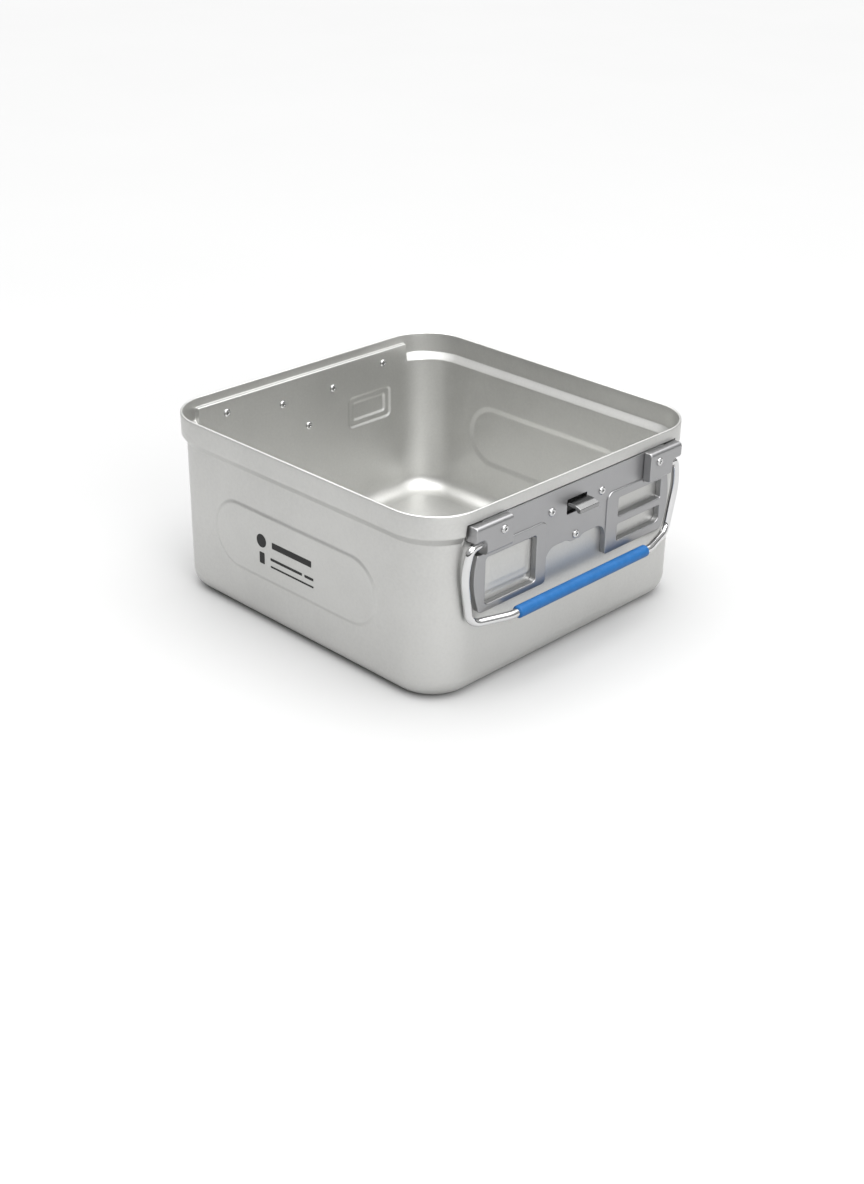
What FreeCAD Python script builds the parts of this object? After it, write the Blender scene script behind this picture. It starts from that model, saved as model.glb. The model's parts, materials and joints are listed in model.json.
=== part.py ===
import FreeCAD, Part
import Sketcher
import math
import os
import re

Vector = FreeCAD.Vector
doc = FreeCAD.newDocument("container_base")

# Half-size sterilisation container base. +Z up, origin at the middle of the resting plane.
# X runs between the two handle ends, Y between the two plain walls. Millimetres and degrees.
# Every end piece is drawn at the +X (right) end and turned half a turn about Z for the left end.
SIZES = [
    ("rim_length", 285.0, "rim, outside, along X"),
    ("rim_width", 280.0, "rim, outside, along Y"),
    ("tub_height", 140.0, "resting plane to the top of the rim"),
    ("rim_corner", 38.0, "outside corner radius of the rim band"),
    ("rim_step", 4.0, "how far the rim band stands out past the wall"),
    ("rim_band", 16.5, "height of the upright part of the rim band"),
    ("rim_bevel", 6.0, "height of the slope between band and wall"),
    ("sheet_gauge", 2.0, "aluminium sheet of the tub"),
    ("bottom_edge", 15.0, "outside radius between wall and floor"),
    ("panel_margin", 22.0, "wall to the raised panel of the floor"),
    ("panel_corner", 18.0, "corner radius of the floor panel"),
    ("panel_rise", 3.0, "floor panel above the resting ring"),
    ("swage_margin", 57.5, "end of the rim to the pressed field of a plain wall"),
    ("swage_depth", 51.0, "height of that field"),
    ("swage_middle", 64.5, "its middle above the resting plane"),
    ("swage_rise", 1.0, "how far the field is pressed out"),
    ("swage_end_flat", 2.0, "straight piece in the middle of its round ends"),
    ("pressed_share", 0.6, "share of the gauge by which a pressed field is smaller inside"),
    ("flat_gap", 1.0, "hinge cap to the end of the flat where the band is pressed back"),
    ("lip_gap", 0.5, "bracket to the lip over that flat"),
    ("card_gap", 1.2, "pressed card field to the sides and top of its window"),
    ("card_foot_gap", 6.0, "pressed card field to the foot of its window"),
    ("emboss_border", 5.5, "width of the border round the inner card field"),
    ("emboss_rise", 1.2, "each of the card field's two steps"),
    ("emboss_corner", 4.0, "corner radius of the card field"),
    ("plate_gauge", 4.0, "bracket plate"),
    ("plate_drop", 9.5, "top edge of the bracket below the rim"),
    ("plate_height", 67.5, "top edge of the bracket to the lower edge of its frames"),
    ("plate_setback", 6.0, "bracket's half width under the hinge caps, short of the corner round"),
    ("frame_rise", 1.0, "window frames proud of the plate"),
    ("frame_drop", 29.4, "top of the raised frames below the rim"),
    ("shoulder_drop", 33.0, "where the frames widen, below the rim"),
    ("shoulder_setback", 1.2, "half width there, short of the corner round"),
    ("belly_drop", 54.0, "corner of the bulged outer side, below the rim"),
    ("belly_overhang", 3.8, "half width there, past the start of the corner round"),
    ("belly_round", 55.0, "radius of the bulge"),
    ("foot_setback", 4.5, "half width at the foot, short of the corner round"),
    ("frame_corner", 4.0, "outer lower corners of the frames"),
    ("frame_top_corner", 6.5, "inner upper corners of the raised frames"),
    ("card_frame", 31.0, "inner edge of the frame on the card side"),
    ("slotted_frame", 33.0, "inner edge of the frame on the slotted side"),
    ("slotted_corner", 2.0, "its lower corner"),
    ("bridge_drop", 52.0, "lower edge of the plate between the frames, below the rim"),
    ("bridge_corner", 10.5, "its corners"),
    ("lobe_sag", 2.3, "lobe round the middle rivet, below that edge"),
    ("lobe_reach", 9.0, "half width of the lobe at its top"),
    ("lobe_foot", 5.0, "half width of the lobe at its foot"),
    ("lobe_round", 4.0, "corners of the lobe's foot"),
    ("lobe_blend", 8.0, "blend of the lobe into the edge"),
    ("small_round", 1.5, "small corners of the bracket"),
    ("soft_edge", 0.4, "softened front edges of the bracket"),
    ("card_near", 41.6, "card window, edge nearer the middle"),
    ("card_side", 9.5, "card window, outer edge short of the corner round"),
    ("card_drop", 37.0, "card window, upper edge below the rim"),
    ("card_height", 35.0, "card window"),
    ("card_corner", 3.0, "its corners"),
    ("slot_near", 45.8, "slotted windows, edge nearer the middle"),
    ("slot_side", 7.6, "slotted windows, outer edge short of the corner round"),
    ("slot_drop", 36.3, "upper slot, upper edge below the rim"),
    ("upper_slot", 14.7, "height of the upper slot"),
    ("slot_bar", 6.0, "bar between the slots"),
    ("lower_slot", 13.0, "height of the lower slot"),
    ("slot_corner", 5.0, "outer lower corner of the slots"),
    ("rod_size", 6.0, "diameter of the bail rod"),
    ("running_gap", 0.05, "radial play of the rod in its hinge"),
    ("hinge_stand", 5.5, "hinge axis in front of the end wall"),
    ("hood_clearance", 1.0, "rod to the underside of the hood"),
    ("rod_inset", 3.5, "rod end inside the inner end of the hinge cap"),
    ("rod_end_gap", 0.5, "rod end to the bottom of its bore"),
    ("elbow_inset", 4.6, "corner where the rod turns down, inside the bulged arm"),
    ("elbow_radius", 6.0, "bend of the rod under the hinge cap"),
    ("arm_fall", 19.0, "corner of the bulged arm below the hinge axis"),
    ("arm_gap", 3.9, "arm's corner to the bulged side of the bracket"),
    ("arm_wall_gap", 1.4, "arm to the end wall there"),
    ("arm_radius", 50.0, "bend of the bulged arm"),
    ("grip_fall", 57.5, "grip below the hinge axis"),
    ("knee_inset", 7.3, "lower corner of the bail inside the bulged arm"),
    ("knee_wall_gap", 0.6, "lower corner to the end wall"),
    ("knee_radius", 10.0, "bend of the lower corner"),
    ("grip_setback", 26.6, "corner where the rod turns into the grip, short of the corner round"),
    ("grip_stand", 13.7, "grip in front of the end wall"),
    ("grip_radius", 18.0, "bend before the grip"),
    ("sleeve_size", 9.0, "diameter of the silicone sleeve"),
    ("sleeve_setback", 5.9, "sleeve end short of that corner"),
    ("sleeve_edge", 0.7, "rounding of the sleeve ends"),
    ("cap_stand", 11.0, "front of the hinge cap in front of the end wall"),
    ("cap_overhang", 6.0, "outer end of the hinge cap past the start of the corner round"),
    ("cap_length", 35.5, "hinge cap along the rod"),
    ("cap_height", 22.0, "hinge cap, upright"),
    ("cap_edge", 2.8, "rounding of its front edges"),
    ("hood_height", 11.5, "hood over the swinging rod, upright"),
    ("hood_length", 10.0, "hood along the rod"),
    ("hood_corner", 4.0, "radius inside the hood"),
    ("hood_gap", 0.5, "hood to the end wall and to the bracket's edge"),
    ("catch_gauge", 1.6, "catch plate"),
    ("catch_border", 6.5, "catch plate past its upper rivets"),
    ("catch_stem", 4.5, "half width of its foot, hidden behind the lobe"),
    ("catch_foot_gap", 1.2, "its foot above the lower edge of the lobe"),
    ("catch_corner", 3.0, "corners of the catch plate"),
    ("pocket_gap", 0.2, "catch plate to the pocket round it"),
    ("hook_width", 20.0, "hook strip"),
    ("hook_gauge", 2.5, "thickness of the hook strip"),
    ("hook_drop", 23.0, "upper face of the hook's root below the rim"),
    ("hook_stand", 15.5, "tip of the hook in front of the end wall"),
    ("hook_fall", 1.9, "upper edge of the tip below the root"),
    ("hook_tip", 3.2, "depth of the tip"),
    ("hook_bend", 7.0, "bend of the hook"),
    ("opening_side_gap", 0.4, "hook strip to the sides of the bracket's opening"),
    ("opening_top_gap", 2.0, "hook strip to the top of the opening"),
    ("opening_height", 11.0, "opening, upright"),
    ("opening_corner", 1.0, "its corners"),
    ("rivet_shank", 4.0, "diameter of the rivets"),
    ("rivet_head", 6.4, "diameter of the rivet heads"),
    ("rivet_crown", 1.4, "height of the rivet heads"),
    ("crown_round", 1.2, "rounding of the rivet heads"),
    ("rivet_fit", 0.05, "radial play of a rivet in its holes"),
    ("mandrel_size", 2.0, "diameter of the broken-off mandrel"),
    ("mandrel_sink", 0.4, "mandrel below the crown"),
    ("cap_rivet_inset", 9.5, "cap rivet from the inner end of the hinge cap"),
    ("cap_rivet_drop", 17.2, "cap rivets below the rim"),
    ("catch_rivet_reach", 26.5, "half distance between the upper catch rivets"),
    ("catch_rivet_drop", 25.0, "upper catch rivets below the rim"),
    ("lobe_rivet_drop", 49.8, "middle catch rivet below the rim"),
]

# Planes and places that several pieces share, worked out from the sizes above
PLACES = {
    "wall_x": "rim_length / 2 - rim_step",
    "wall_y": "rim_width / 2 - rim_step",
    "inner_wall_x": "wall_x - sheet_gauge",
    "plate_x": "wall_x + plate_gauge",
    "frame_x": "plate_x + frame_rise",
    "cap_x": "wall_x + cap_stand",
    "hook_x": "wall_x + hook_stand",
    "hinge_x": "wall_x + hinge_stand",
    "flat_end": "rim_width / 2 - rim_corner",
    "plate_top": "tub_height - plate_drop",
    "plate_reach": "flat_end - plate_setback",
    "frame_low": "plate_top - plate_height",
    "frame_top": "tub_height - frame_drop",
    "frame_shoulder": "tub_height - shoulder_drop",
    "shoulder_reach": "flat_end - shoulder_setback",
    "belly_height": "tub_height - belly_drop",
    "belly_reach": "flat_end + belly_overhang",
    "foot_reach": "flat_end - foot_setback",
    "bridge_low": "tub_height - bridge_drop",
    "lobe_low": "bridge_low - lobe_sag",
    "card_far": "flat_end - card_side",
    "card_top": "tub_height - card_drop",
    "card_low": "card_top - card_height",
    "slot_far": "flat_end - slot_side",
    "slot_top": "tub_height - slot_drop",
    "bar_top": "slot_top - upper_slot",
    "bar_low": "bar_top - slot_bar",
    "slot_low": "bar_low - lower_slot",
    "cap_outer": "flat_end + cap_overhang",
    "cap_inner": "cap_outer - cap_length",
    "cap_low": "plate_top - cap_height",
    "hood_low": "plate_top - hood_height",
    "hood_start": "cap_outer - hood_length",
    "hood_inner": "plate_reach + hood_gap",
    "rod_end": "cap_inner + rod_inset",
    "hinge_height": "hood_low - hood_clearance - rod_size / 2",
    "arm_reach": "belly_reach + arm_gap + rod_size / 2",
    "grip_height": "hinge_height - grip_fall",
    "grip_bend": "flat_end - grip_setback",
    "sleeve_reach": "grip_bend - sleeve_setback",
    "hook_height": "tub_height - hook_drop",
    "hook_under": "hook_height - hook_gauge",
    "opening_reach": "hook_width / 2 + opening_side_gap",
    "opening_top": "hook_height + opening_top_gap",
    "opening_low": "opening_top - opening_height",
    "cap_rivet_reach": "cap_inner + cap_rivet_inset",
    "cap_rivet_height": "tub_height - cap_rivet_drop",
    "catch_rivet_height": "tub_height - catch_rivet_drop",
    "lobe_rivet_height": "tub_height - lobe_rivet_drop",
    "rivet_hole": "rivet_shank + 2 * rivet_fit",
}
CUT = "20"  # how far a cut runs past what it cuts
CLEAR = "1"  # how far a cut starts in front of it
NEAR = 0.01  # two places this near are the same

sheet = doc.addObject("Spreadsheet::Sheet", "Sizes")
for row, (alias, value, note) in enumerate(SIZES, start=1):
    sheet.set(f"A{row}", alias)
    sheet.set(f"B{row}", str(value))
    sheet.set(f"C{row}", note)
    sheet.setAlias(f"B{row}", alias)
doc.recompute()
ALIASES = {alias for alias, _, _ in SIZES}


def spelled(formula):
    """The formula with each place worked out and each size written as its cell."""
    def word(match):
        name = match[0]
        if name in PLACES:
            return f"({spelled(PLACES[name])})"
        return f"Sizes.{name}" if name in ALIASES else name

    return re.sub(r"[a-z_]+", word, formula)


def number(formula):
    return float(sheet.evalExpression(spelled(formula)))


def bind(item, prop, formula):
    item.setExpression(prop, spelled(formula))


def newBody(name, turned=0):
    body = doc.addObject("PartDesign::Body", name)
    body.Label = name
    body.Placement = FreeCAD.Placement(Vector(), FreeCAD.Rotation(Vector(0, 0, 1), turned))
    return body


def newSketch(body, role, offset="0"):
    """A sketch on one of the body's own origin planes, moved along the plane's normal."""
    sketch = body.newObject("Sketcher::SketchObject", "Sketch")
    plane = next(item for item in body.Origin.OriginFeatures if item.Role == role)
    sketch.AttachmentSupport = [(plane, "")]
    sketch.MapMode = "FlatFace"
    bind(sketch, "AttachmentOffset.Base.z", offset)
    return sketch


def cornerTangents(points):
    """Where the round corners of an outline start and end, with their centres."""
    rounds = []
    for index, (place, radius) in enumerate(points):
        back = (points[index - 1][0] - place).normalize()
        ahead = (points[(index + 1) % len(points)][0] - place).normalize()
        if radius == 0:
            rounds.append((place, place, None))
            continue
        half = back.getAngle(ahead) / 2
        centre = place + (back + ahead).normalize() * (radius / math.sin(half))
        run = radius / math.tan(half)
        rounds.append((place + back * run, place + ahead * run, centre))
    return rounds


def hold(sketch, kind, where, formula):
    """A dimension bound to the sheet."""
    place = sketch.addConstraint(Sketcher.Constraint(kind, *where, number(formula)))
    bind(sketch, f"Constraints[{place}]", formula)


def drawOutline(sketch, corners):
    """A closed outline with each corner, (across, up, radius), held by the sheet."""
    points = [(Vector(number(x), number(y), 0), number(r)) for x, y, r in corners]
    rounds = cornerTangents(points)
    count = len(corners)
    lines = []
    for index in range(count):
        start = rounds[index][1]
        end = rounds[(index + 1) % count][0]
        lines.append(sketch.addGeometry(Part.LineSegment(start, end), False))

    for index, ((place, radius), (start, end, centre)) in enumerate(zip(points, rounds)):
        x, y, r = corners[index]
        before, after = lines[index - 1], lines[index]
        if centre is None:
            sketch.addConstraint(Sketcher.Constraint("Coincident", before, 2, after, 1))
            hold(sketch, "DistanceX", (-1, 1, after, 1), x)
            hold(sketch, "DistanceY", (-1, 1, after, 1), y)
            continue
        middle = centre + (place - centre).normalize() * radius
        arc = sketch.addGeometry(Part.Arc(start, middle, end), False)
        first = 1 if sketch.getPoint(arc, 1).distanceToPoint(start) < 1e-6 else 2
        corner = sketch.addGeometry(Part.Point(place), True)
        sketch.addConstraint(Sketcher.Constraint("Tangent", before, 2, arc, first))
        sketch.addConstraint(Sketcher.Constraint("Tangent", arc, 3 - first, after, 1))
        sketch.addConstraint(Sketcher.Constraint("PointOnObject", corner, 1, before))
        sketch.addConstraint(Sketcher.Constraint("PointOnObject", corner, 1, after))
        hold(sketch, "Radius", (arc,), r)
        hold(sketch, "DistanceX", (-1, 1, corner, 1), x)
        hold(sketch, "DistanceY", (-1, 1, corner, 1), y)


def rectangle(left, right, low, high, radius="0"):
    return [(left, low, radius), (right, low, radius), (right, high, radius), (left, high, radius)]


def centredRectangle(half_x, half_y, radius):
    return rectangle(f"-({half_x})", half_x, f"-({half_y})", half_y, radius)


def mirrored(corners):
    """The same outline on the other side of the upright axis."""
    return [(f"-({x})", y, r) for x, y, r in reversed(corners)]


def feature(body, kind, sketch, length, backwards=False, midplane=False):
    item = body.newObject(f"PartDesign::{kind}", kind)
    item.Profile = sketch
    item.Reversed = backwards
    item.Midplane = midplane
    bind(item, "Length", length)
    return item


def extrude(body, kind, role, offset, corners, length, backwards=False, midplane=False):
    sketch = newSketch(body, role, offset)
    drawOutline(sketch, corners)
    return feature(body, kind, sketch, length, backwards, midplane)


def circleOn(sketch, across, up, size):
    centre = Vector(number(across), number(up), 0)
    circle = sketch.addGeometry(Part.Circle(centre, Vector(0, 0, 1), number(size) / 2), False)
    hold(sketch, "Diameter", (circle,), size)
    hold(sketch, "DistanceX", (-1, 1, circle, 3), across)
    hold(sketch, "DistanceY", (-1, 1, circle, 3), up)


def drill(body, role, places, size, offset, length, backwards=False):
    """Round holes cut along the normal of an origin plane, against it unless backwards."""
    sketch = newSketch(body, role, offset)
    for across, up in places:
        circleOn(sketch, across, up, size)
    return feature(body, "Pocket", sketch, length, backwards)


def roundEdges(body, radius, wanted):
    """Fillets the edges of the newest feature that the test picks out."""
    doc.recompute()
    tip = body.Tip
    names = [f"Edge{index}" for index, edge in enumerate(tip.Shape.Edges, start=1) if wanted(edge)]
    fillet = body.newObject("PartDesign::Fillet", "Fillet")
    fillet.Base = (tip, names)
    bind(fillet, "Radius", radius)
    return fillet


def cutRod(body):
    """The round seat of the rod, from just past each rod end outwards."""
    start = "rod_end - rod_end_gap"
    for offset, backwards in ((start, True), (f"-({start})", False)):
        drill(body, "XZ_Plane", [("hinge_x", "hinge_height")], "rod_size + 2 * running_gap", offset,
              f"cap_outer - rod_end + {CLEAR}", backwards)


CAP_RIVETS = [("-cap_rivet_reach", "cap_rivet_height"), ("cap_rivet_reach", "cap_rivet_height")]
CATCH_RIVETS = [("-catch_rivet_reach", "catch_rivet_height"), ("catch_rivet_reach", "catch_rivet_height"),
                ("0", "lobe_rivet_height")]


# Tub: one pressed sheet, the difference of an outer and an inner form with the same features

def tubForm(name, inset, top):
    """The tub's solid outline, moved in by the sheet's gauge for its inside."""
    body = newBody(name)
    wall_half_x, wall_half_y = f"(wall_x - {inset})", f"(wall_y - {inset})"
    walls = centredRectangle(wall_half_x, wall_half_y, f"rim_corner - rim_step - {inset}")
    rim = centredRectangle(f"rim_length / 2 - {inset}", f"rim_width / 2 - {inset}", f"rim_corner - {inset}")
    extrude(body, "Pad", "XY_Plane", inset, walls, f"{top} - {inset}")
    floor_height = number(inset)
    roundEdges(body, f"bottom_edge - {inset}", lambda edge: edge.BoundBox.ZMax < floor_height + NEAR)

    # The slope under the rim band keeps the sheet's thickness where it bends out and up
    lift = f"{inset} * (hypot(rim_step; rim_bevel) - rim_bevel) / rim_step"
    band_low = f"(tub_height - rim_band + {lift})"
    low = newSketch(body, "XY_Plane", f"{band_low} - rim_bevel")
    drawOutline(low, walls)
    high = newSketch(body, "XY_Plane", band_low)
    drawOutline(high, rim)
    loft = body.newObject("PartDesign::AdditiveLoft", "Bevel")
    loft.Profile = low
    loft.Sections = [high]
    loft.Ruled = True
    extrude(body, "Pad", "XY_Plane", band_low, rim, f"{top} - {band_low}")

    # At both ends the band is pressed back flush with the wall, up to a short lip
    flat = rectangle(wall_half_x, f"wall_x + {CUT}", f"{band_low} - rim_bevel - {CLEAR}",
                     f"plate_top + lip_gap + {inset}")
    sketch = newSketch(body, "XZ_Plane")
    drawOutline(sketch, flat)
    drawOutline(sketch, mirrored(flat))
    feature(body, "Pocket", sketch, f"2 * (cap_outer + flat_gap + {inset})", midplane=True)

    # Pressed fields: a long one in each plain wall, a stepped one for the card in each end wall
    shrink = f"(pressed_share * {inset})"
    field_half = f"(rim_length / 2 - swage_margin - {shrink})"
    field_rise = f"(swage_depth / 2 - {shrink})"
    field = rectangle(f"-{field_half}", field_half, f"swage_middle - {field_rise}",
                      f"swage_middle + {field_rise}", f"{field_rise} - swage_end_flat / 2")
    steps = []
    for border, corner, rise in (("0", "emboss_corner", "emboss_rise"),
                                 ("emboss_border", "emboss_corner / 2", "2 * emboss_rise")):
        edge = f"({shrink} + {border})"
        side = f"(card_gap + {edge})"
        outline = rectangle(f"{side} - card_far", f"-card_near - {side}",
                            f"card_low + card_foot_gap + {edge}", f"card_top - {side}", corner)
        steps.append((outline, rise))
    for backwards, sign in ((False, ""), (True, "-")):
        extrude(body, "Pad", "XZ_Plane", f"{sign}{wall_half_y}", field, "swage_rise", backwards)
        for outline, rise in steps:
            shape = mirrored(outline) if backwards else outline
            extrude(body, "Pad", "YZ_Plane", f"{sign}{wall_half_x}", shape, rise, backwards)

    panel = centredRectangle(f"{wall_half_x} - panel_margin + 2 * {inset}",
                             f"{wall_half_y} - panel_margin + 2 * {inset}", f"panel_corner + {inset}")
    extrude(body, "Pocket", "XY_Plane", inset, panel, "panel_rise", backwards=True)
    return body


def makeTub():
    outside = tubForm("tub_outside", "0", "tub_height")
    for offset, backwards in ((f"wall_x + {CLEAR}", False), (f"-(wall_x + {CLEAR})", True)):
        drill(outside, "YZ_Plane", CAP_RIVETS + CATCH_RIVETS, "rivet_hole", offset,
              f"sheet_gauge + 2 * {CLEAR}", backwards)
    cut = doc.addObject("Part::Cut", "tub")
    cut.Base = outside
    cut.Tool = tubForm("tub_inside", "sheet_gauge", f"(tub_height + {CUT})")
    cut.Label = "tub"
    return cut


# Bracket: a plate with two raised window frames, under the lip of the rim

PLATE_SIDE = [("belly_reach", "belly_height", "belly_round"),
              ("shoulder_reach", "frame_shoulder", "small_round"), ("plate_reach", "frame_shoulder", "0"),
              ("plate_reach", "plate_top", "small_round")]
LOBE_HALF = [("lobe_foot", "lobe_low", "lobe_round"), ("lobe_reach", "bridge_low", "lobe_blend")]


def frameFoot(inner, corner):
    return [(inner, "frame_low", corner), ("foot_reach", "frame_low", "frame_corner")]


def frameOutline(inner, corner):
    """A raised window frame, its top stepped down under the hinge cap."""
    return frameFoot(inner, corner) + PLATE_SIDE[:3] + [
        ("plate_reach", "cap_low", "0"), ("cap_inner", "cap_low", "0"), ("cap_inner", "frame_top", "0"),
        (inner, "frame_top", "frame_top_corner")]


def plateOutline():
    slotted = LOBE_HALF + [("slotted_frame", "bridge_low", "bridge_corner")]
    slotted += frameFoot("slotted_frame", "slotted_corner") + PLATE_SIDE
    card = LOBE_HALF + [("card_frame", "bridge_low", "bridge_corner")]
    card += frameFoot("card_frame", "frame_corner") + PLATE_SIDE
    return slotted + mirrored(card)


def makeBracket(side, turned):
    body = newBody(f"{side}_bracket", turned)
    extrude(body, "Pad", "YZ_Plane", "wall_x", plateOutline(), "plate_gauge")
    frames = newSketch(body, "YZ_Plane", "plate_x")
    drawOutline(frames, mirrored(frameOutline("card_frame", "frame_corner")))
    drawOutline(frames, frameOutline("slotted_frame", "slotted_corner"))
    feature(body, "Pad", frames, "frame_rise")

    lower_slot = rectangle("slot_near", "slot_far", "slot_low", "bar_low", "small_round")
    lower_slot[1] = ("slot_far", "slot_low", "slot_corner")
    windows = newSketch(body, "YZ_Plane", f"frame_x + {CLEAR}")
    drawOutline(windows, rectangle("-card_far", "-card_near", "card_low", "card_top", "card_corner"))
    drawOutline(windows, lower_slot)
    drawOutline(windows, rectangle("slot_near", "slot_far", "bar_top", "slot_top", "small_round"))
    drawOutline(windows, rectangle("-opening_reach", "opening_reach", "opening_low", "opening_top",
                                   "opening_corner"))
    feature(body, "Pocket", windows, CUT)

    front = number("frame_x")
    roundEdges(body, "soft_edge", lambda edge: edge.BoundBox.XMin > front - NEAR)
    extrude(body, "Pocket", "YZ_Plane", "wall_x", catchOutline("pocket_gap"), "catch_gauge", backwards=True)
    drill(body, "YZ_Plane", CAP_RIVETS + CATCH_RIVETS, "rivet_hole", f"frame_x + {CLEAR}", CUT)
    cutRod(body)
    return body


# Hinge cap: a hood over the rod end, riveted through the bracket

def makeHingeCap(name, turned, sign):
    body = newBody(name, turned)
    rear = sign > 0
    away = "-" if rear else ""
    main = rectangle("plate_x", "cap_x", "cap_low", "plate_top")
    extrude(body, "Pad", "XZ_Plane", f"{away}cap_inner", main, "cap_length", rear)
    back = rectangle("wall_x + hood_gap", f"plate_x + {CLEAR}", "hood_low", "plate_top")
    extrude(body, "Pad", "XZ_Plane", f"{away}hood_inner", back, "cap_outer - hood_inner", rear)
    arch = [("hood_start", f"cap_low - {CUT}", "0"), (f"cap_outer + {CUT}", f"cap_low - {CUT}", "0"),
            (f"cap_outer + {CUT}", "hood_low", "0"), ("hood_start", "hood_low", "hood_corner")]
    extrude(body, "Pocket", "YZ_Plane", f"cap_x + {CLEAR}", arch if rear else mirrored(arch), CUT)

    front, shortest = number("cap_x"), number("hood_corner")

    def longFrontEdge(edge):
        box = edge.BoundBox
        return box.XMin > front - NEAR and box.YLength > shortest and box.ZLength < NEAR

    roundEdges(body, "cap_edge", longFrontEdge)
    cutRod(body)
    rivet = CAP_RIVETS[1] if rear else CAP_RIVETS[0]
    drill(body, "YZ_Plane", [rivet], "rivet_hole", f"cap_x + {CLEAR}", CUT)
    return body


# Catch: a plate in a pocket behind the bracket, with the hook that the lid's latch pulls on

def catchOutline(gap):
    """The catch plate's outline, a T round its three rivets, let out by a gap."""
    border = f"(catch_border + {gap})"
    reach = f"catch_rivet_reach + {border}"
    half = [(f"catch_stem + {gap}", f"lobe_low + catch_foot_gap - {gap}", "catch_corner"),
            (reach, f"catch_rivet_height - {border}", "catch_corner"),
            (reach, f"catch_rivet_height + {border}", "catch_corner")]
    return half + mirrored(half)


def makeCatchPlate(side, turned):
    body = newBody(f"{side}_catch_plate", turned)
    extrude(body, "Pad", "YZ_Plane", "wall_x", catchOutline("0"), "catch_gauge")
    slot = rectangle("-hook_width / 2", "hook_width / 2", "hook_under", "hook_height")
    front = f"wall_x + catch_gauge + {CLEAR}"
    extrude(body, "Pocket", "YZ_Plane", front, slot, CUT)
    drill(body, "YZ_Plane", CATCH_RIVETS, "rivet_hole", front, CUT)
    return body


def makeCatchHook(side, turned):
    body = newBody(f"{side}_catch_hook", turned)
    tip_top = "(hook_height - hook_fall)"
    bend_x = "hook_x - 2 * hook_gauge"
    profile = [("wall_x", "hook_under", "0"), (bend_x, "hook_under", "hook_bend - 2 * hook_gauge"),
               ("hook_x - hook_gauge", f"{tip_top} - hook_tip", "0"),
               ("hook_x", f"{tip_top} - hook_tip", "0"), ("hook_x", tip_top, "hook_gauge / 2"),
               (bend_x, "hook_height", "hook_bend"), ("wall_x", "hook_height", "0")]
    extrude(body, "Pad", "XZ_Plane", "0", profile, "hook_width", midplane=True)
    return body


# Bail: one round rod bent to shape, and the silicone sleeve on its grip

BAIL_HALF = [("hinge_x", "rod_end", "hinge_height", "0"),
             ("hinge_x", "arm_reach - elbow_inset", "hinge_height", "elbow_radius"),
             ("wall_x + arm_wall_gap + rod_size / 2", "arm_reach", "hinge_height - arm_fall", "arm_radius"),
             ("wall_x + knee_wall_gap + rod_size / 2", "arm_reach - knee_inset", "grip_height",
              "knee_radius"),
             ("wall_x + grip_stand", "grip_bend", "grip_height", "grip_radius")]


def makeBail(side, turned):
    route = [(Vector(number(x), number(y), number(z)), number(radius)) for x, y, z, radius in BAIL_HALF]
    points = [(Vector(place.x, -place.y, place.z), radius) for place, radius in route] + route[::-1]
    rounds = cornerTangents(points)
    edges = []
    for index in range(1, len(points)):
        edges.append(Part.LineSegment(rounds[index - 1][1], rounds[index][0]).toShape())
        start, end, centre = rounds[index]
        if centre is not None:
            place, radius = points[index]
            middle = centre + (place - centre).normalize() * radius
            edges.append(Part.Arc(start, middle, end).toShape())
    path = Part.Wire(edges)
    radius = number("rod_size / 2")
    ring = Part.Wire(Part.makeCircle(radius, points[0][0], Vector(0, 1, 0)))
    bail = doc.addObject("Part::Feature", f"{side}_bail")
    bail.Shape = path.makePipeShell([ring], True, False)
    bail.Placement = FreeCAD.Placement(Vector(), FreeCAD.Rotation(Vector(0, 0, 1), turned))
    bail.Label = f"{side}_bail"
    drift = bail.Shape.Volume / (math.pi * radius ** 2 * path.Length) - 1
    print(f"{side}_bail: {path.Length:.1f} mm of rod, volume off by {100 * drift:.2f}%")
    return bail


def makeGrip(side, turned):
    body = newBody(f"{side}_grip", turned)
    sketch = newSketch(body, "XZ_Plane")
    for size in ("sleeve_size", "rod_size"):
        circleOn(sketch, "wall_x + grip_stand", "grip_height", size)
    feature(body, "Pad", sketch, "2 * sleeve_reach", midplane=True)
    bore = number("rod_size")
    roundEdges(body, "sleeve_edge",
               lambda edge: edge.BoundBox.YLength < NEAR and edge.BoundBox.ZLength > bore + NEAR)
    return body


# Rivets: a hollow body with a crown outside and one inside, and the broken-off mandrel in its bore

def makeRivet(name, turned, across, up, front):
    body = newBody(name, turned)
    sketch = newSketch(body, "XZ_Plane", f"-({across})")
    bind(sketch, "AttachmentOffset.Base.y", up)
    bore, shank, head = "mandrel_size / 2", "rivet_shank / 2", "rivet_head / 2"
    outer = [(f"{front} + rivet_crown", bore, "0"), (f"{front} + rivet_crown", head, "crown_round"),
             (front, head, "0"), (front, shank, "0")]
    inner = [("inner_wall_x", shank, "0"), ("inner_wall_x", head, "0"),
             ("inner_wall_x - rivet_crown", head, "crown_round"), ("inner_wall_x - rivet_crown", bore, "0")]
    drawOutline(sketch, outer + inner)
    turning = body.newObject("PartDesign::Revolution", "Revolution")
    turning.Profile = sketch
    turning.ReferenceAxis = (sketch, ["H_Axis"])
    turning.Angle = 360
    return body


def makeMandrel(name, turned, across, up, front):
    body = newBody(name, turned)
    sketch = newSketch(body, "YZ_Plane", "inner_wall_x - rivet_crown + mandrel_sink")
    circleOn(sketch, across, up, "mandrel_size")
    feature(body, "Pad", sketch, f"{front} - inner_wall_x + 2 * (rivet_crown - mandrel_sink)")
    return body


def gather(name, members):
    group = doc.addObject("Part::Compound", name)
    group.Links = members
    group.Label = name
    return group


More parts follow.
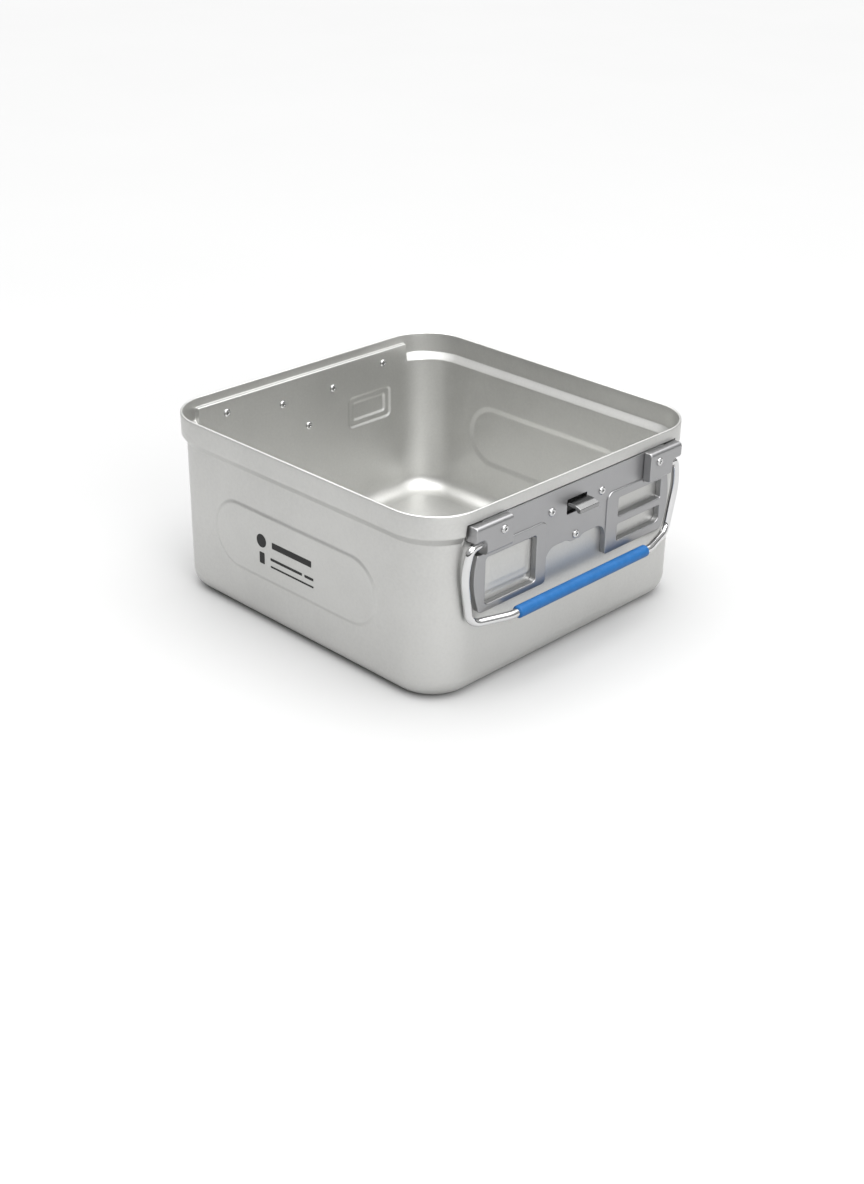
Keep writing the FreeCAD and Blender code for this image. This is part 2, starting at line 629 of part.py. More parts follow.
def makeEnd(side, turned, ends):
    """Everything at one end; ends names its -Y and +Y hinge as they lie before the turn."""
    made = [makeBracket(side, turned), makeCatchPlate(side, turned), makeCatchHook(side, turned)]
    mandrels = []
    for end, sign, (across, up) in zip(ends, (-1, 1), CAP_RIVETS):
        made.append(makeHingeCap(f"{side}_{end}_hinge_cap", turned, sign))
        made.append(makeRivet(f"{side}_{end}_cap_rivet", turned, across, up, "cap_x"))
        mandrels.append(makeMandrel(f"{side}_{end}_cap_mandrel", turned, across, up, "cap_x"))
    rivets = []
    for index, (across, up) in enumerate(CATCH_RIVETS):
        rivets.append(makeRivet(f"{side}_catch_rivet_{index}", turned, across, up, "plate_x"))
        mandrels.append(makeMandrel(f"{side}_catch_mandrel_{index}", turned, across, up, "plate_x"))
    made.append(gather(f"{side}_catch_rivets", rivets))
    made.append(gather(f"{side}_rivet_mandrels", mandrels))
    return made + [makeBail(side, turned), makeGrip(side, turned)]


nodes = [makeTub()] + makeEnd("right", 0, ("front", "rear")) + makeEnd("left", 180, ("rear", "front"))
doc.recompute()
for item in doc.Objects:
    if "Invalid" in item.State or "Error" in item.State:
        raise RuntimeError(f"{item.Label} failed: {item.State}")
for node in nodes:
    if node.Shape.isNull() or not node.Shape.isValid():
        raise RuntimeError(f"{node.Label} has no valid shape")

os.makedirs("parts", exist_ok=True)
for node in nodes:
    node.Shape.exportStep(f"parts/{node.Label}.step")
    print(f"{node.Label}: {len(node.Shape.Solids)} solid(s), {node.Shape.Volume:.0f} mm3")
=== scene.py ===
import bmesh
import bpy
import json
import math
from mathutils import Matrix, Vector


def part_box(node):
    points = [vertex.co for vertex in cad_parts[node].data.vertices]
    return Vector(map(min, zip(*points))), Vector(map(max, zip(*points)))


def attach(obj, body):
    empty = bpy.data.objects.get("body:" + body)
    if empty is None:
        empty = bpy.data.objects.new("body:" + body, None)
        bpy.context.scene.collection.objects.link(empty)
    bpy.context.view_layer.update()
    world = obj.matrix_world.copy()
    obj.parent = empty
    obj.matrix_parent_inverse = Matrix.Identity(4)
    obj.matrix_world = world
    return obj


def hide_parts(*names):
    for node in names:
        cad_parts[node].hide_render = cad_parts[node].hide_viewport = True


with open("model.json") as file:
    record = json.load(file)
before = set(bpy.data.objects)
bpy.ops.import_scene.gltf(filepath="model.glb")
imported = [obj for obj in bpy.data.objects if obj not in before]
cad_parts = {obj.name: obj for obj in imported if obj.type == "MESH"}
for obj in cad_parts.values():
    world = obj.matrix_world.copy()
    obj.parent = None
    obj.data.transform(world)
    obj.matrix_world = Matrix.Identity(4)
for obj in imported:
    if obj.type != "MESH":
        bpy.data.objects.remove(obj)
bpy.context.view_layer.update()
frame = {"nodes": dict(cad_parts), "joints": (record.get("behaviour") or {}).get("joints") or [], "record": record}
mm = 0.001
print("frame loaded:", len(frame["nodes"]), "nodes")


# Shader helpers
class Value:  # an output socket; arithmetic on it adds Math nodes
    def __init__(self, tree, socket):
        self.tree, self.socket = tree, socket

    def maths(self, operation, *values):
        return Nodes(self.tree).add("ShaderNodeMath", {"operation": operation}, dict(enumerate(values)))

    def __add__(self, other):
        return self.maths("ADD", self, other)

    def __radd__(self, other):
        return self.maths("ADD", other, self)

    def __sub__(self, other):
        return self.maths("SUBTRACT", self, other)

    def __rsub__(self, other):
        return self.maths("SUBTRACT", other, self)

    def __mul__(self, other):
        return self.maths("MULTIPLY", self, other)

    def __rmul__(self, other):
        return self.maths("MULTIPLY", other, self)


class Nodes:  # adds nodes to one tree
    def __init__(self, tree):
        self.tree = tree

    def add(self, kind, settings=None, sockets=None, output=0):
        node = self.tree.nodes.new(kind)
        for key, setting in (settings or {}).items():
            setattr(node, key, setting)
        for key, value in (sockets or {}).items():
            if isinstance(value, Value):
                self.tree.links.new(value.socket, node.inputs[key])
            else:
                node.inputs[key].default_value = value
        return Value(self.tree, node.outputs[output])

    def place(self):  # where the surface is, in metres
        return self.add("ShaderNodeTexCoord", output=3)

    def stretched(self, scale):
        return self.add("ShaderNodeMapping", {"vector_type": "POINT"}, {"Vector": self.place(), "Scale": scale})

    def noise(self, scale, detail=2.0, vector=None):
        return self.add("ShaderNodeTexNoise", {"noise_dimensions": "3D"},
                        {"Vector": vector or self.place(), "Scale": scale, "Detail": detail, "Roughness": 0.6})

    def between(self, factor, low, high):  # low to high as factor goes from 0 to 1
        return self.add("ShaderNodeMapRange", {"clamp": True}, {"Value": factor, "To Min": low, "To Max": high})

    def step(self, value, start, end):  # 0 before start, 1 after end
        return self.add("ShaderNodeMapRange", {"clamp": True, "interpolation_type": "SMOOTHSTEP"},
                        {"Value": value, "From Min": start, "From Max": end})

    def blend(self, factor, first, second):
        return self.add("ShaderNodeMix", {"data_type": "RGBA", "blend_type": "MIX"},
                        {0: factor, 6: first, 7: second}, output=2)

    def bump(self, height, strength, distance):
        return self.add("ShaderNodeBump", None, {"Height": height, "Strength": strength, "Distance": distance})


def newFinish(name, **constants):
    material = bpy.data.materials.new(name)
    material.use_nodes = True
    shader = material.node_tree.nodes["Principled BSDF"]
    for key, value in constants.items():
        shader.inputs[key.replace("_", " ")].default_value = value
    return material, Nodes(material.node_tree), shader


def feed(nodes, shader, **values):
    for key, value in values.items():
        nodes.tree.links.new(value.socket, shader.inputs[key.replace("_", " ")])


def grey(level, tint=(1.0, 1.0, 1.0)):
    return (level * tint[0], level * tint[1], level * tint[2], 1.0)


# Finishes, each with the values to change

tubFinish = {"light": 0.575, "dark": 0.52, "tint": (1.0, 1.0, 0.975), "roughness": (0.40, 0.50),
             "grain": 1400.0, "grainBump": 0.35, "grainDepth": 0.00004, "speckle": 490.0, "speckleShare": 0.3,
             "cloud": 9.0, "scuff": 60.0, "scuffStretch": (1.0, 1.0, 0.25), "scuffStart": (0.62, 0.78),
             "scuffGloss": 0.04}


def makeTubAluminium():
    look = tubFinish
    material, nodes, shader = newFinish("tubAluminium", Metallic=1.0)
    cloud = nodes.noise(look["cloud"], 3.0)
    grain = nodes.noise(look["grain"], 2.0)
    speckle = nodes.noise(look["speckle"], 1.0)
    share = look["speckleShare"]
    shade = nodes.step(cloud * (1 - share) + speckle * share, 0.3, 0.7)
    scratch = nodes.noise(look["scuff"], 4.0, nodes.stretched(look["scuffStretch"]))
    scuff = nodes.step(scratch, *look["scuffStart"])
    gloss = nodes.between(grain * 0.5 + cloud * 0.5, *look["roughness"]) - scuff * look["scuffGloss"]
    feed(nodes, shader, Roughness=gloss, Normal=nodes.bump(grain, look["grainBump"], look["grainDepth"]),
         Base_Color=nodes.blend(shade, grey(look["dark"], look["tint"]), grey(look["light"], look["tint"])))
    return material


bracketFinish = {"light": 0.375, "dark": 0.33, "tint": (0.985, 0.985, 1.0), "roughness": (0.32, 0.42),
                 "cloud": 25.0, "cloudShare": 0.4, "grain": 1800.0, "grainStretch": (1.0, 1.0, 0.5),
                 "grainBump": 0.3, "grainDepth": 0.00002}


def makeBracketAluminium():
    look = bracketFinish
    material, nodes, shader = newFinish("bracketAluminium", Metallic=1.0)
    cloud = nodes.noise(look["cloud"], 3.0)
    grain = nodes.noise(look["grain"], 2.0, nodes.stretched(look["grainStretch"]))
    share = look["cloudShare"]
    feed(nodes, shader, Roughness=nodes.between(grain * (1 - share) + cloud * share, *look["roughness"]),
         Base_Color=nodes.blend(cloud, grey(look["dark"], look["tint"]), grey(look["light"], look["tint"])),
         Normal=nodes.bump(grain, look["grainBump"], look["grainDepth"]))
    return material


rodFinish = {"light": 0.70, "dark": 0.60, "roughness": (0.03, 0.08), "smear": 70.0,
             "smearStretch": (1.0, 0.4, 1.0), "hair": 900.0, "hairStretch": (1.0, 0.1, 1.0),
             "hairBump": 0.15, "hairDepth": 0.00001}


def makePolishedRod():
    look = rodFinish
    material, nodes, shader = newFinish("polishedRod", Metallic=1.0)
    smear = nodes.noise(look["smear"], 3.0, nodes.stretched(look["smearStretch"]))
    hair = nodes.noise(look["hair"], 2.0, nodes.stretched(look["hairStretch"]))
    feed(nodes, shader, Base_Color=nodes.blend(smear, grey(look["dark"]), grey(look["light"])),
         Roughness=nodes.between(smear, *look["roughness"]),
         Normal=nodes.bump(hair, look["hairBump"], look["hairDepth"]))
    return material


siliconeFinish = {"light": (0.014, 0.10, 0.28, 1), "dark": (0.010, 0.085, 0.24, 1), "roughness": (0.42, 0.55),
                  "specular": 0.25, "dust": 180.0, "dustStart": (0.35, 0.7), "grain": 2200.0, "grainBump": 0.4,
                  "grainDepth": 0.00004}


def makeBlueSilicone():
    look = siliconeFinish
    material, nodes, shader = newFinish("blueSilicone", Specular_IOR_Level=look["specular"])
    dust = nodes.noise(look["dust"], 4.0)
    grain = nodes.noise(look["grain"], 2.0)
    feed(nodes, shader, Roughness=nodes.between(dust, *look["roughness"]),
         Base_Color=nodes.blend(nodes.step(dust, *look["dustStart"]), look["dark"], look["light"]),
         Normal=nodes.bump(grain, look["grainBump"], look["grainDepth"]))
    return material


hookFinish = {"light": 0.32, "dark": 0.24, "roughness": (0.16, 0.28), "smear": 120.0, "brushed": 1500.0,
              "brushStretch": (1.0, 0.03, 1.0), "brushBump": 0.4, "brushDepth": 0.00002}


def makeHookSteel():
    look = hookFinish
    material, nodes, shader = newFinish("hookSteel", Metallic=1.0)
    brushed = nodes.noise(look["brushed"], 3.0, nodes.stretched(look["brushStretch"]))
    smear = nodes.noise(look["smear"], 2.0)
    feed(nodes, shader, Base_Color=nodes.blend(smear, grey(look["dark"]), grey(look["light"])),
         Roughness=nodes.between(brushed, *look["roughness"]),
         Normal=nodes.bump(brushed, look["brushBump"], look["brushDepth"]))
    return material


# Three steels that differ only in how coarse and how dark they are
speckledSteels = {
    # blackened steel for the catch plate, kept near black so that it also stands in as painted shade in the void
    # seen through the bracket opening behind the hook
    "blackenedSteelPaintedShade": {"metallic": 0.6, "spots": 300.0, "detail": 4.0, "dark": 0.010, "light": 0.022,
                  "roughness": (0.45, 0.6), "bump": 0.2, "depth": 0.00002},
    "rivetSteel": {"metallic": 1.0, "spots": 500.0, "detail": 3.0, "dark": 0.48, "light": 0.58,
                   "roughness": (0.18, 0.32), "bump": 0.2, "depth": 0.00003},
    "mandrelSteel": {"metallic": 1.0, "spots": 2500.0, "detail": 4.0, "dark": 0.10, "light": 0.22,
                     "roughness": (0.35, 0.6), "bump": 0.6, "depth": 0.00008}}


def makeSpeckledSteel(name):
    look = speckledSteels[name]
    material, nodes, shader = newFinish(name, Metallic=look["metallic"])
    spots = nodes.noise(look["spots"], look["detail"])
    feed(nodes, shader, Base_Color=nodes.blend(spots, grey(look["dark"]), grey(look["light"])),
         Roughness=nodes.between(spots, *look["roughness"]),
         Normal=nodes.bump(spots, look["bump"], look["depth"]))
    return material


inkFinish = {"light": 0.06, "dark": 0.012, "roughness": (0.45, 0.65), "specular": 0.3, "worn": 700.0,
             "wornStart": (0.62, 0.8), "bump": 0.2, "depth": 0.00002}


def makePrintInk():
    look = inkFinish
    material, nodes, shader = newFinish("printInk", Specular_IOR_Level=look["specular"])
    worn = nodes.noise(look["worn"], 4.0)
    feed(nodes, shader, Roughness=nodes.between(worn, *look["roughness"]),
         Base_Color=nodes.blend(nodes.step(worn, *look["wornStart"]), grey(look["dark"]), grey(look["light"])),
         Normal=nodes.bump(worn, look["bump"], look["depth"]))
    return material


finishes = {"print_ink": makePrintInk(), "tub_aluminium": makeTubAluminium(),
            "bracket_aluminium": makeBracketAluminium(), "polished_rod": makePolishedRod(),
            "blue_silicone": makeBlueSilicone(), "hook_steel": makeHookSteel(),
            "dark_steel": makeSpeckledSteel("blackenedSteelPaintedShade"), "rivet_steel": makeSpeckledSteel("rivetSteel"),
            "mandrel_steel": makeSpeckledSteel("mandrelSteel")}
recordSlots = {row["slot"] for row in frame["record"]["materials"]}
print("finishes made:", len(finishes))


# Mesh helpers

def newPiece(name, points, faces, slotName, body, stoodFor=()):
    mesh = bpy.data.meshes.new(name)
    mesh.from_pydata(points, [], faces)
    mesh.validate()
    mesh.shade_smooth()
    piece = bpy.data.objects.new(name, mesh)
    bpy.context.scene.collection.objects.link(piece)
    mesh.materials.append(finishes[slotName])
    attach(piece, body)
    slotName in recordSlots
    if stoodFor:
        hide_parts(*stoodFor)
    return piece


def spread(stops):  # places from (start, spacing) pairs, each spacing kept up to the next start
    places = []
    for (start, spacing), (end, _) in zip(stops, stops[1:]):
        count = max(1, round((end - start) / spacing))
        places += [start + (end - start) * index / count for index in range(count)]
    return places + [stops[-1][0]]


def smooth(value, start, end):
    share = min(1.0, max(0.0, (value - start) / (end - start)))
    return share * share * (3 - 2 * share)


def rounded(corners, closed=False):  # (place, radius, runs, steps): round corners, runs divided after each
    places = [Vector(corner[0]) for corner in corners]
    count, arcs = len(places), []
    for index, (place, (_, radius, _, steps)) in enumerate(zip(places, corners)):
        if radius == 0 or not closed and index in (0, count - 1):
            arcs.append([place])
            continue
        back = (places[index - 1] - place).normalized()
        ahead = (places[(index + 1) % count] - place).normalized()
        half = back.angle(ahead) / 2
        centre = place + (back + ahead).normalized() * radius / math.sin(half)
        first, last = (place + way * radius / math.tan(half) - centre for way in (back, ahead))
        turn = math.pi - 2 * half
        shares = [step / steps for step in range(steps + 1)]
        arcs.append([centre + (first * math.sin((1 - share) * turn) + last * math.sin(share * turn)) / math.sin(turn)
                     for share in shares])
    path = []
    for index, arc in enumerate(arcs):
        path += arc
        if closed or index + 1 < count:
            runs, following = corners[index][2], arcs[(index + 1) % count][0]
            path += [arc[-1].lerp(following, step / runs) for step in range(1, runs)]
    return path


def roundedDistance(across, up, halfAcross, halfUp, radius):  # below 0 inside a rounded rectangle
    outX, outY = abs(across) - halfAcross + radius, abs(up) - halfUp + radius
    return math.hypot(max(outX, 0), max(outY, 0)) + min(max(outX, outY), 0) - radius


# Tub: one pressed sheet, as an outer and an inner grid that meet at the top of the rim

tub = {"rimStep": 4.0, "corner": 34.0, "gauge": 2.0, "bandLow": 123.5, "bevelLow": 117.5, "bendRound": 2.0,
       "bottomRound": 15.0, "panelRise": 3.0, "panelEdge": 22.0, "panelCorner": 18.0, "lipLow": 131.0,
       "flatReach": 109.0, "notchWidth": 1.4, "edgeRound": 0.8,
       "fieldHalf": 85.0, "fieldLow": 39.0, "fieldHigh": 90.0, "fieldRise": 1.0, "fieldSlope": (3.4, 6.0),
       "cardOut": 91.3, "cardIn": 42.8, "cardLow": 74.0, "cardHigh": 101.8, "cardRise": 1.2, "cardBorder": 5.5,
       "cardCorner": 4.0, "cardSlope": (3.6, 2.8), "cardFade": 0.25,
       "insideShrink": 0.6, "insideLift": 0.6, "insideShift": 1.2, "panelRound": 1.2, "panelSlope": 1.6,
       "flatFoot": (0.4, -0.6), "bandFoot": (-2.6, -3.2), "fieldMargin": 3.0, "cardMargin": 2.0,
       "fine": 0.7, "floorRings": (32.0, 55.0, 80.0, 110.0)}
lowCorner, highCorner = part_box("tub")
rimHeight = highCorner.z / mm
wallX = highCorner.x / mm - tub["rimStep"]
wallY = highCorner.y / mm - tub["rimStep"]


def pressed(side, along, height, inner):  # how far a wall is pressed outwards there
    shrink = tub["insideShrink"] * tub["gauge"] if inner else 0.0
    fieldSlope, cardSlope = tub["fieldSlope"][inner] / 2, tub["cardSlope"][inner] / 2
    if side in (1, 3):
        middle = (tub["fieldLow"] + tub["fieldHigh"]) / 2
        halfUp = (tub["fieldHigh"] - tub["fieldLow"]) / 2 - shrink
        away = roundedDistance(along, height - middle, tub["fieldHalf"] - shrink, halfUp, halfUp)
        return tub["fieldRise"] * (1 - smooth(away, -fieldSlope, fieldSlope))
    across = -along - (tub["cardOut"] + tub["cardIn"]) / 2
    up = height - (tub["cardLow"] + tub["cardHigh"]) / 2
    total = 0.0
    for border, corner in ((0.0, tub["cardCorner"]), (tub["cardBorder"], tub["cardCorner"] / 2)):
        inset = border + shrink
        away = roundedDistance(across, up, (tub["cardOut"] - tub["cardIn"]) / 2 - inset,
                               (tub["cardHigh"] - tub["cardLow"]) / 2 - inset, corner)
        fade = 1.0 if inner or border == 0 else tub["cardFade"]
        total += fade * tub["cardRise"] * (1 - smooth(away, -cardSlope, cardSlope))
    return total


def tubColumns():  # (side, along or None, turn): along a wall, or round the corner that follows it
    straight = {0: wallY - tub["corner"], 1: wallX - tub["corner"]}
    near, far, fine = tub["cardIn"], tub["cardOut"], tub["fine"]
    card = [(-straight[0], 2.5), (-far - 3, fine), (-far + 9, 3.0), (-near - 9, fine), (-near + 3, 5.0),
            (straight[0], 5.0)]
    start, end = tub["fieldHalf"] - 28, tub["fieldHalf"] + 2.5
    field = [(-straight[1], 4.0), (-end, fine), (-start, 4.0), (start, fine), (end, 4.0), (straight[1], 4.0)]
    notch = math.degrees(math.asin((tub["flatReach"] - straight[0]) / tub["corner"]))
    turns = [3, 6, notch - 3] + [notch - 1.6 + 0.4 * index for index in range(9)] + [notch + 3]
    turns += [notch + 3 + (90 - notch - 3) * index / 14 for index in range(1, 14)]
    columns = []
    for side in range(4):
        columns += [(side, place, None) for place in spread(card if side in (0, 2) else field)]
        bends = turns if side in (0, 2) else [90 - turn for turn in reversed(turns)]
        columns += [(side, None, bend) for bend in bends]
    return columns


def wallPlace(column, offset):  # a point of the ring that lies offset outside the wall, with the ring's normal
    side, along, turn = column
    radius = tub["corner"] + offset
    if offset < -tub["bottomRound"]:
        radius = max(tub["panelCorner"], tub["corner"] - tub["bottomRound"] + (offset + tub["bottomRound"]) / 7)
    halfX, halfY = wallX + offset - radius, wallY + offset - radius
    if along is None:
        angle = math.radians(side * 90 + turn)
        corner = [(halfX, halfY), (-halfX, halfY), (-halfX, -halfY), (halfX, -halfY)][side]
        normal = (math.cos(angle), math.sin(angle))
        return corner[0] + radius * normal[0], corner[1] + radius * normal[1], normal
    if side in (0, 2):
        share = along / (wallY - tub["corner"])
        sign = 1 if side == 0 else -1
        return sign * (halfX + radius), sign * share * halfY, (sign, 0)
    share = along / (wallX - tub["corner"])
    sign = 1 if side == 1 else -1
    return -sign * share * halfX, sign * (halfY + radius), (0, sign)


def tubProfile(inner, flat, plane):  # plane: how far the pressed-flat wall lies outside the ring there
    gauge = tub["gauge"] if inner else 0.0
    lift = tub["insideLift"] if inner else 0.0
    shift = tub["insideShift"] if inner else 0.0
    band, wall = tub["rimStep"] - gauge, -gauge
    bandLow, bevelLow = tub["bandLow"] + lift, tub["bevelLow"] + lift
    edge, bend = tub["edgeRound"], tub["bendRound"]
    rows = [(tub["rimStep"] - tub["gauge"] / 2, rimHeight, 0, 1, 0), (band, rimHeight, edge, 3, 4)]
    if flat:
        lip = tub["lipLow"] + gauge
        slope = (bandLow - bevelLow) / tub["rimStep"]
        high, low = tub["flatFoot"]
        rows += [(band, lip, edge, 2, 4), (plane - gauge, lip, edge, 6, 4),
                 (plane - gauge, bevelLow + slope * plane + high, 0, 1, 0), (wall, bevelLow + low, 0, 6, 0)]
    else:
        high, low = tub["bandFoot"]
        rows += [(band, bandLow, bend, 2, 4), (wall, bevelLow, bend, 6, 4),
                 (wall, bevelLow + high, 0, 1, 0), (wall, bevelLow + low, 0, 6, 0)]
    pressedHigh, pressedLow = tub["cardHigh"] + tub["cardMargin"], tub["fieldLow"] - tub["fieldMargin"]
    start, run = -tub["panelEdge"] + shift, tub["panelSlope"] / 2
    floor = gauge + tub["panelRise"]
    rows += [(wall, pressedHigh, 0, round((pressedHigh - pressedLow) / tub["fine"]), 0),
             (wall, pressedLow, 0, 6, 0), (wall, gauge, tub["bottomRound"] - gauge, 4, 12),
             (start + run, gauge, tub["panelRound"], 2, 4), (start - run, floor, tub["panelRound"], 3, 4)]
    rows += [(-inset, floor, 0, 1, 0) for inset in tub["floorRings"]]
    return rounded([((row[0], row[1]), row[2], row[3], row[4]) for row in rows])


def tubSide(columns, inner):
    bevelTop = tub["bevelLow"] - 4
    gauge = tub["gauge"] if inner else 0.0
    blend = tub["notchWidth"] / 2
    band = tubProfile(inner, False, 0.0)
    grid = []
    for column in columns:
        x, y, normal = wallPlace(column, 0.0)
        share, flat = 0.0, band
        if abs(y) < tub["flatReach"] + 3 and abs(normal[0]) > 0.5:
            share = 1 - smooth(abs(y), tub["flatReach"] - blend, tub["flatReach"] + blend)
            plane = (wallX - gauge - abs(wallPlace(column, -gauge)[0])) / abs(normal[0])
            flat = tubProfile(inner, True, plane)
        line = []
        for wide, narrow in zip(band, flat):
            offset, height = wide.lerp(narrow, share)
            if column[1] is not None and tub["bottomRound"] < height < bevelTop and offset < 0.5:
                offset += pressed(column[0], column[1], height, inner)
            px, py, _ = wallPlace(column, offset)
            line.append((px * mm, py * mm, height * mm))
        grid.append(line)
    return grid


def makeTub():
    columns = tubColumns()
    outer, inner = tubSide(columns, False), tubSide(columns, True)
    count, depth = len(columns), len(outer[0])
    points = [point for line in outer + inner for point in line]
    faces = []
    for index in range(count):
        here, there = index * depth, (index + 1) % count * depth
        for row in range(depth - 1):
            faces.append((here + row, here + row + 1, there + row + 1, there + row))
    outside = list(faces)
    base = count * depth
    faces += [tuple(base + corner for corner in reversed(face)) for face in outside]
    faces.append(tuple(index * depth + depth - 1 for index in reversed(range(count))))
    faces.append(tuple(base + index * depth + depth - 1 for index in range(count)))
    return newPiece("tubShell", points, faces, "tub_aluminium", "container", ["tub"])


tubShell = makeTub()
print("tub made:", len(tubShell.data.polygons), "faces")


# The two ends: each piece is drawn at the right end, and turned half a turn for the left one

hinge = Vector(frame["joints"][0]["pos_m"]) / mm
ends = {"right": (Matrix.Identity(4), {-1: "front", 1: "rear"}),
        "left": (Matrix.Rotation(math.pi, 4, "Z"), {-1: "rear", 1: "front"})}
softSteps = [(0.0, 1.0), (0.13, 0.5), (0.5, 0.13), (1.0, 0.0)]  # depth and inset along a rounded edge


def loft(rings, closedEnds=True):  # rings of equal length, in order; returns points and faces
    size = len(rings[0])
    points = [point for ring in rings for point in ring]
    faces = []
    for index in range(len(rings) - 1):
        here, there = index * size, (index + 1) * size
        faces += [(here + k, here + (k + 1) % size, there + (k + 1) % size, there + k) for k in range(size)]
    if closedEnds:
        last = (len(rings) - 1) * size
        faces += [tuple(reversed(range(size))), tuple(last + k for k in range(size))]
    return points, faces


def joined(parts):
    points, faces = [], []
    for more, areas in parts:
        faces += [tuple(len(points) + corner for corner in area) for area in areas]
        points += more
    return points, faces


def atEnd(side, parts):  # millimetres at the right end to metres at either end
    points, faces = joined(parts)
    turn = ends[side][0] @ Matrix.Scale(mm, 4)
    return [turn @ Vector(point) for point in points], faces


def softened(piece, angle=40):  # sharp edges stay sharp, and flat faces shade flat
    piece.data.set_sharp_from_angle(angle=math.radians(angle))
    piece.modifiers.new("flatFaces", "WEIGHTED_NORMAL").keep_sharp = True
    return piece


def turnedRings(profile, centre, axis, count=32):  # (radius, along) pairs turned round an axis
    axis = Vector(axis).normalized()
    across = axis.orthogonal().normalized()
    other = axis.cross(across)
    rings = []
    for radius, along in profile:
        rings.append([centre + axis * along + (across * math.cos(2 * math.pi * k / count)
                                              + other * math.sin(2 * math.pi * k / count)) * radius
                      for k in range(count)])
    return rings


def tube(route, radius, sides=28):
    rings, across = [], None
    for index, place in enumerate(route):
        ahead = (route[min(index + 1, len(route) - 1)] - route[max(index - 1, 0)]).normalized()
        across = across or ahead.orthogonal()
        across = (across - ahead * across.dot(ahead)).normalized()
        other = ahead.cross(across)
        rings.append([place + (across * math.cos(2 * math.pi * k / sides)
                               + other * math.sin(2 * math.pi * k / sides)) * radius for k in range(sides)])
    return loft(rings)


# Bracket: a plate with two raised window frames. Outlines are (|Y|, Z, radius) in millimetres.

bracket = {"back": 138.5, "front": 142.5, "frameFront": 143.5, "plateEdge": 0.5, "frameEdge": 0.85, "arc": 7,
           "side": [(105.8, 86.0, 55.0), (100.8, 107.0, 1.5), (96.0, 107.0, 0), (96.0, 130.5, 1.5)],
           "lobe": [(5.0, 85.7, 4.0), (9.0, 88.0, 8.0)], "bridge": (88.0, 10.5), "foot": (97.5, 63.0, 4.0),
           "inner": {-1: (31.0, 4.0), 1: (33.0, 2.0)}, "frameTop": 110.6, "topCorner": 6.5,
           "underCap": [(96.0, 108.5, 0), (72.5, 108.5, 0), (72.5, 110.6, 0)],
           "card": (41.6, 92.5, 68.0, 103.0, 3.0), "upperSlot": (45.8, 94.4, 89.0, 103.7, 1.5),
           "lowerSlot": (45.8, 94.4, 70.0, 83.0, 1.5), "slotCorner": 5.0, "opening": (10.4, 108.0, 119.0, 1.0),
           "frameRoot": 1.0, "frameGrow": 0.04}


def outline(corners, sign=1):
    steps = bracket["arc"]
    path = rounded([((sign * across, up), radius, 1, steps) for across, up, radius in corners], closed=True)
    return path if sign > 0 else path[::-1]


def window(near, far, low, high, radius, sign, lowCorner=None):
    corners = [(near, low, radius), (far, low, lowCorner or radius), (far, high, radius), (near, high, radius)]
    return outline(corners, sign)


def pressedPlate(outer, holes, back, front, edge, grow=0.0):  # a flat piece with softened edges
    curve = bpy.data.curves.new("outline", "CURVE")
    curve.dimensions, curve.fill_mode = "2D", "BOTH"
    for path in [outer] + [hole[::-1] for hole in holes]:
        spline = curve.splines.new("POLY")
        spline.points.add(len(path) - 1)
        spline.use_cyclic_u = True
        for point, place in zip(spline.points, path):
            point.co = (place[0], place[1], 0, 1)
    curve.extrude, curve.bevel_depth, curve.bevel_resolution = (front - back) / 2 - edge, edge, 3
    curve.offset = grow - edge
    carrier = bpy.data.objects.new("outline", curve)
    bpy.context.scene.collection.objects.link(carrier)
    bpy.context.view_layer.update()
    mesh = bpy.data.meshes.new_from_object(carrier.evaluated_get(bpy.context.evaluated_depsgraph_get()))
    middle = (front + back) / 2
    points = [Vector((vertex.co.z + middle, vertex.co.x, vertex.co.y)) for vertex in mesh.vertices]
    faces = [tuple(face.vertices) for face in mesh.polygons]
    bpy.data.objects.remove(carrier)
    return points, faces


def welded(piece, distance=0.00001):
    mesh = bmesh.new()
    mesh.from_mesh(piece.data)
    bmesh.ops.remove_doubles(mesh, verts=mesh.verts, dist=distance)
    bmesh.ops.recalc_face_normals(mesh, faces=mesh.faces)
    mesh.to_mesh(piece.data)
    mesh.free()
    piece.data.shade_smooth()
    return piece


def makeBracket(side):
    half = {}
    for sign in (-1, 1):
        inner, corner = bracket["inner"][sign]
        foot = [(inner, bracket["foot"][1], corner), bracket["foot"]]
        low, round_ = bracket["bridge"]
        half[sign] = bracket["lobe"] + [(inner, low, round_)] + foot + bracket["side"]
    plate = rounded([((y, z), radius, 1, bracket["arc"]) for y, z, radius in
                     half[1] + [(-y, z, radius) for y, z, radius in reversed(half[-1])]], closed=True)
    reach, low, high, radius = bracket["opening"]
    opening = window(-reach, reach, low, high, radius, 1)
    card = window(*bracket["card"], -1)
    slots = [window(*bracket["upperSlot"], 1), window(*bracket["lowerSlot"], 1, bracket["slotCorner"])]
    parts = [pressedPlate(plate, [opening, card] + slots, bracket["back"], bracket["front"],
                          bracket["plateEdge"])]
    for sign, holes in ((-1, [card]), (1, slots)):
        inner, corner = bracket["inner"][sign]
        frameLine = outline([(inner, bracket["foot"][1], corner), bracket["foot"]] + bracket["side"][:3]
                            + bracket["underCap"] + [(inner, bracket["frameTop"], bracket["topCorner"])], sign)
        root = bracket["front"] - bracket["frameRoot"]
        parts.append(pressedPlate(frameLine, holes, root, bracket["frameFront"], bracket["frameEdge"],
                                  bracket["frameGrow"]))
    piece = newPiece(side + "BracketPlate", *atEnd(side, parts), "bracket_aluminium", "container",
                     [side + "_bracket"])
    return softened(welded(piece))


# Hinge caps: a rounded block over each rod end, hollowed under its hood

